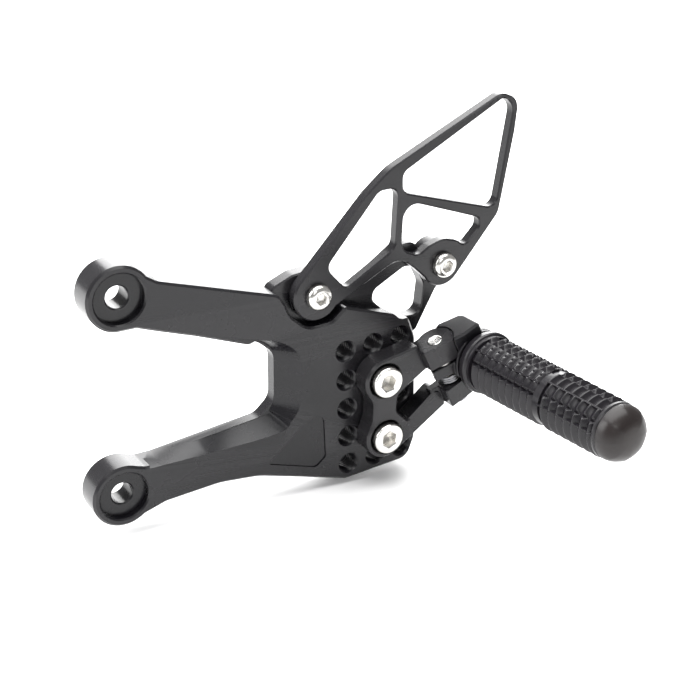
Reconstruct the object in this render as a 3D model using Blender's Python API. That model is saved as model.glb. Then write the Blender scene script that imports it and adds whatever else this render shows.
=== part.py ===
"""Rear-set foot peg for a motorcycle: frame bracket, heel guard, peg hanger and a sprung folding peg.

World frame: +Z up, +X to the rear, -Y out towards the rider's foot. The origin is on the upper frame
bolt's axis, on the back face of the bracket. Each flat piece is an outline in X and Z, carried along Y.
"""

import math

import bmesh
import bpy
from mathutils import Vector

MM = 0.001
GAP = 0.3 * MM  # between pieces that touch
ROUND_STEPS = 32  # sides of a turned piece
ARC_STEP = math.radians(22)  # most turn of an outline between two points

# frame bracket
PLATE_THICK = 12.7 * MM
PLATE_CHAMFER = 0.9 * MM
BOSS_SPACING = 79.5 * MM
BOSS_R = 12.6 * MM
BOSS_SINK_R = 9.65 * MM
BOSS_SINK_DEPTH = 2.9 * MM
FRAME_HOLE_R = 4.28 * MM
REAR_LEVEL = 6.1 * MM  # the rear frame's front face, behind the plate's
REAR_BOSS_R = 9.0 * MM
CROTCH_BEVEL_DEPTH = 6.8 * MM
PANEL_DEPTH = 0.6 * MM

# grid of threaded holes that sets the peg's height and reach
GRID_ORIGIN = (94.7 * MM, -37.5 * MM)
GRID_PITCH = 12.9 * MM
GRID_TURN = math.radians(4.5)
GRID_COLUMNS = 3
GRID_ROWS = 5
MOUNT_COLUMN = 1
MOUNT_ROWS = (1, 3)

# heel guard
GUARD_THICK = 4.8 * MM
GUARD_FRONT_BOSS = (81.3 * MM, -12.1 * MM)
GUARD_REAR_BOSS = (139.9 * MM, -7.4 * MM)
GUARD_FRONT_BOSS_R = 10.3 * MM
GUARD_REAR_BOSS_R = 9.5 * MM
GUARD_CHAMFER = 0.6 * MM

# screws
BUTTON_HEAD_R = 5.3 * MM
BUTTON_HEAD_H = 3.3 * MM
BUTTON_SHANK_R = 2.75 * MM
CAP_HEAD_R = 6.6 * MM
CAP_HEAD_H = 8.0 * MM
CAP_SHANK_R = 3.7 * MM
CAP_HEAD_PROUD = 2.5 * MM

# holes that the screws fill
GRID_HOLE_R = CAP_SHANK_R + 0.35 * MM
GUARD_HOLE_R = BUTTON_SHANK_R + 0.55 * MM
HANGER_HOLE_R = CAP_SHANK_R + 0.6 * MM
HANGER_SINK_R = CAP_HEAD_R + 0.7 * MM
SCREW_REACH = 10.4 * MM  # depth of a screw's end below the plate's front face

# peg hanger
HANGER_THICK = 9.2 * MM
HANGER_PAD_R = 9.3 * MM

# hinge: depth is measured down the pin from the top of the upper ear
PIN_TOP = (130.8 * MM, -9.6 * MM, -35.3 * MM)
PIN_TILT = math.radians(27.5)
PIN_R = 3.0 * MM
PIN_CLEARANCE = 0.12 * MM
PIN_PROUD = 3.0 * MM
UPPER_EAR = 10.0 * MM
TONGUE = 4.9 * MM
SPRING_ROOM = 5.0 * MM
LOWER_EAR = 9.1 * MM
EAR_FRONT = 5.8 * MM
UPPER_EAR_LEFT = 3.4 * MM  # the upper ear's front face runs at a slant, between these two distances
UPPER_EAR_RIGHT = 6.9 * MM
EAR_R = PIN_R + 1.7 * MM
UPPER_EAR_R = PIN_R + 5.0 * MM
UPPER_EAR_REACH = 7.9 * MM
LOWER_EAR_REACH = 6.6 * MM
EAR_STEP = 0.3 * MM
BUSH_WALL = 1.0 * MM
WASHER_THICK = 0.5 * MM
WASHER_R = PIN_R + 1.6 * MM
CLIP_THICK = 0.8 * MM
CLIP_R = PIN_R + 1.6 * MM
SPRING_WIRE_R = 0.65 * MM
SPRING_COIL_R = PIN_R + 1.35 * MM
SPRING_TURNS = 2.75

# knuckle and barrel, along the peg's own axis from the knuckle's front face
KNUCKLE_BACK = 8.4 * MM
KNUCKLE_END = 17.6 * MM
KNUCKLE_FRONT = 8.4 * MM
PEG_OFFSET = 12.1 * MM
PEG_DEPTH = 16.3 * MM
PEG_RISE = math.radians(3.1)
PEG_SWEEP = math.radians(1.3)
FLANGE_R = 12.4 * MM
FLANGE_THICK = 3.2 * MM
FLANGE_GROOVE = 0.7 * MM
SPACER_R = 9.8 * MM
SPACER_THICK = 1.0 * MM
SPIGOT_R = 6.0 * MM
SPIGOT_LENGTH = 5.0 * MM
COLLAR_R = 13.1 * MM
COLLAR_LENGTH = 5.0 * MM
BARREL_R = 12.3 * MM
BARREL_TIP_R = 11.4 * MM
BARREL_LENGTH = 80.2 * MM
CAP_LENGTH = 8.0 * MM
PEG_BOLT_R = 3.7 * MM
PEG_BOLT_GRIP = 9.0 * MM  # thread inside the knuckle
PEG_BOLT_HEAD_R = 6.3 * MM
PEG_BOLT_HEAD_H = 8.0 * MM
PEG_WASHER_R = 7.4 * MM
PEG_WASHER_THICK = 1.4 * MM
PEG_SINK_DEPTH = 15.0 * MM
DOWEL_R = 1.4 * MM
DOWEL_LENGTH = 9.0 * MM
DOWEL_OFFSET = 8.0 * MM

BLACK_ANODISE = ((0.012, 0.012, 0.014), 0.35, 0.85)
STAINLESS = ((0.62, 0.61, 0.58), 0.25, 1.0)
SPRING_STEEL = ((0.20, 0.20, 0.21), 0.35, 1.0)
BRONZE = ((0.50, 0.33, 0.14), 0.35, 1.0)


def clear_scene():
    for old in list(bpy.data.objects):
        bpy.data.objects.remove(old)


def make_material(name, finish):
    colour, roughness, metallic = finish
    material = bpy.data.materials.new(name)
    material.use_nodes = True
    shader = material.node_tree.nodes["Principled BSDF"]
    shader.inputs["Base Color"].default_value = (*colour, 1.0)
    shader.inputs["Roughness"].default_value = roughness
    shader.inputs["Metallic"].default_value = metallic
    return material


def add_mesh(name, points, faces, finish=None, parent=None):
    """An object from points and faces, with outward normals. Without a finish it is a cutter."""
    mesh = bpy.data.meshes.new(name)
    mesh.from_pydata(points, [], faces)
    shape = bmesh.new()
    shape.from_mesh(mesh)
    bmesh.ops.recalc_face_normals(shape, faces=shape.faces)
    shape.to_mesh(mesh)
    shape.free()
    piece = bpy.data.objects.new(name, mesh)
    bpy.context.scene.collection.objects.link(piece)
    piece.parent = parent
    if finish is None:
        piece.hide_render = True
        piece.display_type = "WIRE"
    else:
        mesh.materials.append(make_material(name + "_finish", finish))
    return piece


def rounded(corners):
    """Outline from corners (x, z, radius): each corner becomes an arc, limited by its two sides."""
    outline = []
    count = len(corners)
    for i, (x, z, radius) in enumerate(corners):
        here = Vector((x, z))
        before = Vector(corners[i - 1][:2]) - here
        after = Vector(corners[(i + 1) % count][:2]) - here
        half = before.angle(after) / 2
        turn = math.pi - 2 * half
        reach = min(radius / math.tan(half), 0.49 * before.length, 0.49 * after.length)
        if reach < 0.05 * MM or turn < math.radians(2):
            outline.append((x, z))
            continue
        true_radius = reach * math.tan(half)
        middle = (before.normalized() + after.normalized()).normalized()
        centre = here + middle * (true_radius / math.sin(half))
        start = here + before.normalized() * reach - centre
        end = here + after.normalized() * reach - centre
        steps = max(1, math.ceil(turn / ARC_STEP))
        for k in range(steps + 1):
            share = k / steps
            blend = (math.sin((1 - share) * turn) * start + math.sin(share * turn) * end) / math.sin(turn)
            outline.append(tuple(centre + blend))
    return outline


def disc(centre, radius, start=0.0, end=2 * math.pi, steps=ROUND_STEPS):
    """Points round an arc, in X and Z. A whole circle leaves out its last, repeated point."""
    whole = abs(end - start) > 1.999 * math.pi
    count = steps if whole else max(2, math.ceil(abs(end - start) / ARC_STEP) + 1)
    span = count if whole else count - 1
    angles = [start + (end - start) * k / span for k in range(count)]
    return [(centre[0] + radius * math.cos(a), centre[1] + radius * math.sin(a)) for a in angles]


def loft(name, front, front_y, back, back_y, finish=None, parent=None):
    """Solid between two outlines of as many points, in planes across Y."""
    count = len(front)
    points = [(x, front_y, z) for x, z in front] + [(x, back_y, z) for x, z in back]
    if front == back:
        sides = [(i, (i + 1) % count, count + (i + 1) % count, count + i) for i in range(count)]
    else:
        halves = [((i, j, count + j), (i, count + j, count + i)) for i, j in pairs_round(count)]
        sides = [half for pair in halves for half in pair]
    faces = [tuple(range(count)), tuple(range(count, 2 * count)), *sides]
    return add_mesh(name, points, faces, finish, parent)


def pairs_round(count):
    return [(i, (i + 1) % count) for i in range(count)]


def flared(outer, inner, share):
    """The outline that far beyond the outer one, on the lines from the inner one."""
    return [(a[0] + (a[0] - b[0]) * share, a[1] + (a[1] - b[1]) * share) for a, b in zip(outer, inner)]


def slab(name, outline, front_y, back_y, finish=None, parent=None):
    return loft(name, outline, front_y, outline, back_y, finish, parent)


def turned(name, profile, finish=None, parent=None, steps=ROUND_STEPS):
    """Solid of revolution about local Z from (radius, z) points; a radius of 0 closes it on the axis."""
    points, rings = [], []
    for radius, z in profile:
        if radius == 0:
            rings.append([len(points)] * steps)
            points.append((0, 0, z))
            continue
        rings.append([len(points) + k for k in range(steps)])
        angles = [2 * math.pi * k / steps for k in range(steps)]
        points += [(radius * math.cos(a), radius * math.sin(a), z) for a in angles]
    if profile[0][0] > 0:
        rings.append(rings[0])
    faces = []
    for lower, upper in zip(rings, rings[1:]):
        for k in range(steps):
            corners = [lower[k], lower[(k + 1) % steps], upper[(k + 1) % steps], upper[k]]
            corners = list(dict.fromkeys(corners))
            if len(corners) > 2:
                faces.append(tuple(corners))
    return add_mesh(name, points, faces, finish, parent)


def rod(name, radius, low, high, finish=None, parent=None, steps=ROUND_STEPS):
    return turned(name, [(0, low), (radius, low), (radius, high), (0, high)], finish, parent, steps)


def along_y(piece, centre, y):
    """Turns local Z to world +Y, with the local origin at the given place."""
    piece.location = (centre[0], y, centre[1])
    piece.rotation_euler = (-math.pi / 2, 0, 0)
    return piece


def combine(piece, other, operation):
    other.hide_render = True
    other.display_type = "WIRE"
    change = piece.modifiers.new(operation.lower() + "_" + other.name, "BOOLEAN")
    change.operation = operation
    change.object = other
    change.solver = "EXACT"


def cut(piece, *cutters):
    for cutter in cutters:
        combine(piece, cutter, "DIFFERENCE")


def join(piece, *others):
    for other in others:
        combine(piece, other, "UNION")


def chamfer(piece, width):
    """Breaks the edges where a flat face meets a side."""
    edge = piece.modifiers.new("edge_break", "BEVEL")
    edge.width = width
    edge.segments = 1
    edge.limit_method = "ANGLE"
    edge.angle_limit = math.radians(60)
    return piece


def smooth(*pieces):
    for piece in pieces:
        piece.data.shade_smooth()
        piece.data.set_sharp_from_angle(angle=math.radians(35))


def mm_outline(points):
    """Corner list written in millimetres, as metres."""
    return [tuple(value * MM for value in point) for point in points]


def grid_hole(column, row):
    along = Vector((math.cos(GRID_TURN), math.sin(GRID_TURN))) * GRID_PITCH * column
    down = Vector((math.sin(GRID_TURN), -math.cos(GRID_TURN))) * GRID_PITCH * row
    return tuple(Vector(GRID_ORIGIN) + along + down)


FRONT = -PLATE_THICK
UPPER_BOSS = (0.0, 0.0)
LOWER_BOSS = (0.0, -BOSS_SPACING)
GUARD_BACK = FRONT + REAR_LEVEL - GAP
GUARD_FRONT = GUARD_BACK - GUARD_THICK
HANGER_BACK = FRONT - GAP
HANGER_FRONT = HANGER_BACK - HANGER_THICK
LOW = LOWER_BOSS[1] / MM


def bracket_outline():
    """Both bosses, both arms, the plate and the thinner frame behind it, seen from the back face."""
    boss = BOSS_R / MM
    upper = [(boss * math.cos(math.radians(a)), boss * math.sin(math.radians(a)), 0) for a in range(262,
                                                                                                    33, -19)]
    lower = [
        (boss * math.cos(math.radians(a)), LOW + boss * math.sin(math.radians(a)), 0) for a in range(309,
                                                                                                     64, -19)
    ]
    rear_boss = [(x / MM, z / MM, 0) for x, z in disc(GUARD_REAR_BOSS, REAR_BOSS_R, math.radians(140),
                                                      math.radians(-50))]
    top = [(14.6, 4.6, 6), (62.0, -8.1, 8), (73.0, -3.8, 6), (84.0, -2.6, 8), (94.0, -18.0, 6),
           (100.0, -14.4, 4)]
    strut = [(121.0, 1.0, 6), (127.0, 2.4, 6)]
    right = [
        (140.9, -20.3, 3),
        (132.4, -37.4, 3),
        (128.4, -40.0, 3),
        (131.6, -84.0, 8),
        (128.5, -93.3, 6),
        (98.0, -96.4, 10),
        (75.0, -90.0, 20),
        (57.0, LOW - 5.6, 30),
        (40.0, LOW - 4.4, 30),
        (17.0, LOW - 6.7, 6),
    ]
    inner = [
        (8.6, LOW + 10.5, 3),
        (15.0, LOW + 10.7, 8),
        (60.0, LOW + 17.4, 7),
        (66.3, LOW + 23.5, 7),
        (65.6, -35.0, 7),
        (58.4, -29.4, 7),
        (30.0, -19.6, 30),
        (15.0, -15.0, 20),
        (6.4, -12.2, 3),
    ]
    return rounded(mm_outline(upper + top + strut) + mm_outline(rear_boss + right + lower + inner))


def front_clearance():
    """What is cut away in front of the thinner frame, leaving the plate's upper and rear edges."""
    plate_edge = [
        (66.0, -9.0, 6),
        (69.2, -18.2, 8),
        (77.0, -24.6, 9),
        (88.0, -23.8, 6),
        (94.0, -18.4, 2),
        (124.2, -27.6, 5),
        (128.2, -37.0, 3),
        (128.4, -41.0, 3),
    ]
    outside = [(150.0, -44.0, 0), (150.0, 16.0, 0), (66.0, 16.0, 0)]
    return rounded(mm_outline(plate_edge + outside))


def make_bracket():
    bracket = slab("frame_bracket", bracket_outline(), FRONT, 0, BLACK_ANODISE)
    chamfer(bracket, PLATE_CHAMFER)
    past = 3 * MM
    for column in range(GRID_COLUMNS):
        for row in range(GRID_ROWS):
            hole = rod(f"grid_hole_{column}{row}", GRID_HOLE_R, -past, PLATE_THICK + past, steps=20)
            cut(bracket, along_y(hole, grid_hole(column, row), FRONT))
    for name, centre in (("front", GUARD_FRONT_BOSS), ("rear", GUARD_REAR_BOSS)):
        hole = rod(name + "_guard_thread", BUTTON_SHANK_R + GAP, -past, PLATE_THICK + past, steps=20)
        cut(bracket, along_y(hole, centre, FRONT))

    cut(bracket, slab("front_clearance", front_clearance(), FRONT - past, FRONT + REAR_LEVEL))
    front_window = rounded(
        mm_outline(
            [(110.2, -20.4, 3), (110.6, -16.2, 4), (124.6, -8.2, 5), (129.8, -8.4, 4), (134.6, -17.0, 5),
             (133.8, -28, 4),
             (120, -27.6, 4)]
        )
    )
    back_window = [(x + 0.4 * MM, z - (2.4 * MM if z < -22 * MM else 0)) for x, z in front_window]
    cut(bracket, loft("strut_window", front_window, FRONT - past, back_window, past))

    inner = mm_outline([(56, -27.4), (62, -30.8), (65.4, -35.4), (66.2, -56), (64, -60.2), (60, -62.4),
                        (12, -68.9)])
    outer = mm_outline([(57, -25.8), (67, -30), (74.6, -38), (75.2, -56), (70.6, -64), (64, -67.6),
                        (12, -69.8)])
    open_side = mm_outline([(20, -50), (30, -35)])
    lead = flared(outer, inner, 1 * MM / CROTCH_BEVEL_DEPTH)
    bevel = loft("crotch_bevel", lead + open_side, FRONT - 1 * MM, inner + open_side,
                 FRONT + CROTCH_BEVEL_DEPTH)
    panel = rounded(mm_outline([(60.5, -80.5, 1), (83.2, -87.2, 3), (87.6, -83.2, 2), (85.6, -62.0, 6),
                                (76, -66, 8)]))
    cut(bracket, bevel, slab("panel_step", panel, FRONT - past, FRONT + PANEL_DEPTH))

    holes = []
    sinks = []
    for name, centre in (("upper", UPPER_BOSS), ("lower", LOWER_BOSS)):
        hole = rod(name + "_frame_hole", FRAME_HOLE_R, -past, PLATE_THICK + past, steps=32)
        sink = rod(name + "_frame_sink", BOSS_SINK_R, -past, BOSS_SINK_DEPTH)
        holes.append(along_y(hole, centre, FRONT))
        sinks.append(along_y(sink, centre, FRONT))
    cut(bracket, *holes, *sinks)
    return bracket


def guard_outline():
    front = [(x, z, 0) for x, z in disc(GUARD_FRONT_BOSS, GUARD_FRONT_BOSS_R, math.radians(-32),
                                        math.radians(-218))]
    rear = [(x, z, 0) for x, z in disc(GUARD_REAR_BOSS, GUARD_REAR_BOSS_R, math.radians(-38),
                                       math.radians(-150))]
    rim = mm_outline(
        [(101.6, 26.4, 20), (111.6, 35.2, 20), (162.6, 61.2, 7), (171.6, 58.0, 7), (170.9, 45, 20),
         (166.4, 11.2, 8)]
    )
    under = mm_outline([(126.2, -7.4, 5), (120.6, -3.3, 6), (115.4, -3.6, 8)])
    return rounded(front + rim + rear + under)


def make_guard():
    guard = slab("heel_guard", guard_outline(), GUARD_FRONT, GUARD_BACK, BLACK_ANODISE)
    chamfer(guard, GUARD_CHAMFER)
    windows = {
        "top_window": [(118.0, 33.0, 4), (164.4, 59.2, 3), (169.0, 55.0, 5), (164.4, 13.4, 4),
                       (118.6, 25.0, 4)],
        "left_window": [(85.0, -1.4, 4), (107.4, 26.8, 5), (116.2, 27.6, 5), (116.2, 2.6, 6),
                        (94.2, -11.0, 3)],
        "right_window": [(119.4, 21.8, 6), (156.6, 10.2, 3), (157.0, 6.4, 4), (150.2, -1.0, 5),
                         (146.4, 1.8, 5),
                         (139.6, 3.6, 9), (132.6, 1.2, 5), (127.6, -2.0, 4), (119.4, 1.0, 6)],
    }
    for name, corners in windows.items():
        window = rounded(mm_outline(corners))
        cut(guard, slab(name, window, GUARD_FRONT - 2 * MM, GUARD_BACK + 2 * MM))
    for name, centre in (("front", GUARD_FRONT_BOSS), ("rear", GUARD_REAR_BOSS)):
        hole = rod("guard_hole_" + name, GUARD_HOLE_R, -2 * MM, GUARD_THICK + 2 * MM, steps=32)
        cut(guard, along_y(hole, centre, GUARD_FRONT))
    return guard


def hex_socket(name, across, depth, top):
    """Six-sided cutter along local Z, from just outside the head's top."""
    corner = across / math.sqrt(3)
    angles = [math.radians(60 * k + 15) for k in range(6)]
    ring = [(corner * math.cos(a), corner * math.sin(a)) for a in angles]
    points = [(x, y, top - 1 * MM) for x, y in ring] + [(x, y, top + depth) for x, y in ring]
    sides = [(i, (i + 1) % 6, 6 + (i + 1) % 6, 6 + i) for i in range(6)]
    return add_mesh(name, points, [tuple(range(6)), tuple(range(6, 12)), *sides])


def make_button_screw(name, centre):
    """Button head in front of the guard, with its shank in the bracket's thread."""
    seat = GUARD_FRONT - GAP
    reach = FRONT + SCREW_REACH - seat
    top = -BUTTON_HEAD_H
    dome = [(0, top), (0.62 * BUTTON_HEAD_R, top), (0.86 * BUTTON_HEAD_R, top + 0.28 * BUTTON_HEAD_H)]
    rim = [(BUTTON_HEAD_R, top + 0.72 * BUTTON_HEAD_H), (BUTTON_HEAD_R, 0), (BUTTON_SHANK_R, 0)]
    end = [(BUTTON_SHANK_R, reach - 0.6 * MM), (BUTTON_SHANK_R - 0.6 * MM, reach), (0, reach)]
    screw = along_y(turned(name, dome + rim + end, STAINLESS), centre, seat)
    cut(screw, along_y(hex_socket(name + "_socket", 4 * MM, 2.1 * MM, top), centre, seat))
    return screw


def make_cap_screw(name, centre):
    """Socket head sunk in the hanger, with its shank in one of the grid's threads."""
    head_top = HANGER_FRONT - CAP_HEAD_PROUD
    reach = FRONT + SCREW_REACH - head_top
    head = [(0, 0), (CAP_HEAD_R - 0.9 * MM, 0), (CAP_HEAD_R, 0.9 * MM), (CAP_HEAD_R, CAP_HEAD_H)]
    end = [(CAP_SHANK_R, CAP_HEAD_H), (CAP_SHANK_R, reach - 0.8 * MM), (CAP_SHANK_R - 0.8 * MM, reach),
           (0, reach)]
    screw = along_y(turned(name, head + end, STAINLESS), centre, head_top)
    cut(screw, along_y(hex_socket(name + "_socket", 6 * MM, 4 * MM, 0), centre, head_top))
    return screw


def hanger_outline():
    upper_pad = grid_hole(MOUNT_COLUMN, MOUNT_ROWS[0])
    lower_pad = grid_hole(MOUNT_COLUMN, MOUNT_ROWS[1])
    upper = [(x, z, 0) for x, z in disc(upper_pad, HANGER_PAD_R, math.radians(205), math.radians(103))]
    lower = [(x, z, 0) for x, z in disc(lower_pad, HANGER_PAD_R, math.radians(-54), math.radians(-205))]
    arms = mm_outline(
        [(123.0, -36.7, 1), (129.2, -47.4, 1), (121.0, -52.8, 4), (115.0, -57.2, 3), (114.8, -64.4, 4),
         (120.6, -69.8, 1.5),
         (135.2, -57.2, 2.5), (139.4, -66.0, 1)]
    )
    waist = mm_outline([(103.9, -66.4, 6), (103.6, -58.6, 6)])
    return rounded(upper + arms + lower + waist)


def depth_to_z(depth):
    """Local Z in the hinge's frame, which points up the pin."""
    return -depth


TONGUE_TOP = UPPER_EAR + 2 * GAP + WASHER_THICK
TONGUE_BOTTOM = TONGUE_TOP + TONGUE
LOWER_EAR_TOP = TONGUE_BOTTOM + SPRING_ROOM
LOWER_EAR_BOTTOM = LOWER_EAR_TOP + LOWER_EAR
BODY_WALL = EAR_R + GAP
BUSH_R = PIN_R + PIN_CLEARANCE + BUSH_WALL


def make_hinge_empty():
    """Origin on top of the pin, with Z up the pin, X rearward across it and Y as the world's."""
    hinge = bpy.data.objects.new("hinge_axis", None)
    bpy.context.scene.collection.objects.link(hinge)
    hinge.location = (PIN_TOP[0], PIN_TOP[1] - PLATE_THICK, PIN_TOP[2])
    hinge.rotation_euler = (0, -PIN_TILT, 0)
    return hinge


def pin_block(name, plan, top, bottom, finish=None, parent=None):
    """Solid with a plan outline of (across, towards the rider) points, between two depths down the pin."""
    count = len(plan)
    points = [(u, -v, depth_to_z(top)) for u, v in plan] + [(u, -v, depth_to_z(bottom)) for u, v in plan]
    sides = [(i, (i + 1) % count, count + (i + 1) % count, count + i) for i in range(count)]
    return add_mesh(name, points, [tuple(range(count)), tuple(range(count, 2 * count)), *sides], finish,
                    parent)


def upper_ear_plan():
    """Round about the pin on the right and behind, with a slanting front face."""
    round_end = [(x, v, 0) for x, v in disc((0, 0), UPPER_EAR_R, math.radians(55), math.radians(-115))]
    back = round_end[-1][1]
    return rounded([*round_end, (-UPPER_EAR_REACH, back, 0.5 * MM),
                    (-UPPER_EAR_REACH, UPPER_EAR_LEFT, 0.5 * MM)])


def lower_ear_plan():
    """Flat stop in front on the right, round about the pin behind, flat front and a left end."""
    back = [(x, v, 0) for x, v in disc((0, 0), EAR_R, 0, math.radians(-90))]
    left = [(-LOWER_EAR_REACH, -EAR_R, 0.5 * MM), (-LOWER_EAR_REACH, EAR_FRONT, 0.5 * MM)]
    return rounded([(EAR_R, EAR_FRONT, 0.5 * MM), *back, *left])


def make_hanger(hinge):
    hanger = slab("peg_hanger", hanger_outline(), HANGER_FRONT, HANGER_BACK, BLACK_ANODISE)
    chamfer(hanger, 0.6 * MM)
    upper_ear = pin_block("upper_ear", upper_ear_plan(), 0, UPPER_EAR, parent=hinge)
    lower_ear = pin_block("lower_ear", lower_ear_plan(), LOWER_EAR_TOP, LOWER_EAR_BOTTOM, parent=hinge)
    for ear in (upper_ear, lower_ear):
        chamfer(ear, 0.5 * MM)
    # a web joins each ear to its arm, behind the ears' front faces
    web_front = -(PIN_TOP[1] + HANGER_THICK)
    for name, reach, top, bottom in (
        ("upper_web", UPPER_EAR_REACH, 0.9 * MM, UPPER_EAR - 0.9 * MM),
        ("lower_web", LOWER_EAR_REACH, LOWER_EAR_TOP + 0.9 * MM, LOWER_EAR_BOTTOM - 0.9 * MM),
    ):
        plan = [(-reach - 5 * MM, web_front - 1 * MM), (-reach + 2 * MM, 1.5 * MM),
                (-reach + 2 * MM, -EAR_R + 0.6 * MM),
                (-reach - 5 * MM, -EAR_R + 0.6 * MM)]
        join(hanger, pin_block(name, plan, top, bottom, parent=hinge))
    join(hanger, upper_ear, lower_ear)
    step = [(-3.6 * MM, -12 * MM), (UPPER_EAR_R + 2 * MM, -12 * MM), (UPPER_EAR_R + 2 * MM, 12 * MM),
            (-3.6 * MM, 12 * MM)]
    cut(hanger, pin_block("ear_step", step, -2 * MM, EAR_STEP, parent=hinge))
    bore_low, bore_high = depth_to_z(LOWER_EAR_BOTTOM + 2 * MM), 2 * MM
    cut(hanger, rod("ear_bore", PIN_R + PIN_CLEARANCE, bore_low, bore_high, parent=hinge, steps=32))
    for row in MOUNT_ROWS:
        centre = grid_hole(MOUNT_COLUMN, row)
        hole = rod(f"hanger_hole_{row}", HANGER_HOLE_R, -2 * MM, HANGER_THICK + 2 * MM, steps=32)
        floor = CAP_HEAD_H - CAP_HEAD_PROUD + GAP
        sink = rod(f"hanger_sink_{row}", HANGER_SINK_R, -6 * MM, floor)
        cut(hanger, along_y(hole, centre, HANGER_FRONT), along_y(sink, centre, HANGER_FRONT))
    return hanger


def make_pin_parts(hinge):
    low = depth_to_z(LOWER_EAR_BOTTOM + PIN_PROUD)
    high = depth_to_z(EAR_STEP - 0.3 * MM)
    groove_top = depth_to_z(LOWER_EAR_BOTTOM + GAP)
    groove_low = groove_top - CLIP_THICK - 2 * GAP
    groove_r = PIN_R - 0.8 * MM
    profile = [(0, low), (PIN_R - 0.4 * MM, low), (PIN_R, low + 0.4 * MM), (PIN_R, groove_low),
               (groove_r, groove_low),
               (groove_r, groove_top), (PIN_R, groove_top), (PIN_R, high - 0.4 * MM),
               (PIN_R - 0.4 * MM, high), (0, high)]
    pin = turned("hinge_pin", profile, STAINLESS, hinge, 32)

    clip_top = groove_top - GAP
    mouth = math.radians(38)
    outer = disc((0, 0), CLIP_R, mouth, 2 * math.pi - mouth)
    inner = disc((0, 0), groove_r + 0.15 * MM, 2 * math.pi - mouth * 1.6, mouth * 1.6)
    clip = pin_block("pin_clip", outer + inner, -clip_top, -clip_top + CLIP_THICK, SPRING_STEEL, hinge)

    top, bottom = depth_to_z(TONGUE_TOP), depth_to_z(TONGUE_BOTTOM)
    inside = PIN_R + PIN_CLEARANCE
    bush = turned("hinge_bush", [(inside, bottom), (BUSH_R, bottom), (BUSH_R, top), (inside, top)],
                  BRONZE, hinge, 32)

    wide, low, high = PIN_R + GAP, depth_to_z(TONGUE_TOP - GAP), depth_to_z(UPPER_EAR + GAP)
    ring = [(wide, low), (WASHER_R, low), (WASHER_R, high), (wide, high)]
    washer = turned("thrust_washer", ring, STAINLESS, hinge, 32)
    return pin, clip, bush, washer


def make_return_spring(hinge):
    """Torsion spring: one leg lies along the lower ear's arm, the other along the knuckle's wall."""
    low = LOWER_EAR_TOP - GAP - SPRING_WIRE_R
    high = TONGUE_BOTTOM + GAP + SPRING_WIRE_R
    steps = math.ceil(SPRING_TURNS * 20)
    start = math.radians(180)
    route = []
    for k in range(steps + 1):
        share = k / steps
        angle = start + share * SPRING_TURNS * 2 * math.pi
        depth = low + (high - low) * share
        route.append((SPRING_COIL_R * math.cos(angle), SPRING_COIL_R * math.sin(angle), depth_to_z(depth)))
    lead = [(-SPRING_COIL_R, 2.6 * MM, depth_to_z(low)), (-SPRING_COIL_R, 1.2 * MM, depth_to_z(low))]
    curve = bpy.data.curves.new("return_spring", "CURVE")
    curve.dimensions = "3D"
    curve.bevel_depth = SPRING_WIRE_R
    curve.bevel_resolution = 1
    curve.use_fill_caps = True
    line = curve.splines.new("POLY")
    points = lead + route
    line.points.add(len(points) - 1)
    for spot, place in zip(line.points, points):
        spot.co = (*place, 1)
    spring = bpy.data.objects.new("return_spring", curve)
    bpy.context.scene.collection.objects.link(spring)
    spring.parent = hinge
    curve.materials.append(make_material("return_spring_finish", SPRING_STEEL))
    return spring


def make_peg_empty(hinge):
    """Origin where the peg's axis meets the knuckle's front face, with Z out along the peg."""
    peg = bpy.data.objects.new("peg_axis", None)
    bpy.context.scene.collection.objects.link(peg)
    peg.parent = hinge
    peg.location = (PEG_OFFSET, -EAR_FRONT, depth_to_z(PEG_DEPTH))
    peg.rotation_euler = (math.pi / 2 - PEG_RISE, 0, PEG_SWEEP)
    return peg


BARREL_START = FLANGE_THICK + SPACER_THICK + 2 * GAP
BARREL_END = BARREL_START + BARREL_LENGTH
CAP_START = BARREL_END + GAP


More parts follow.
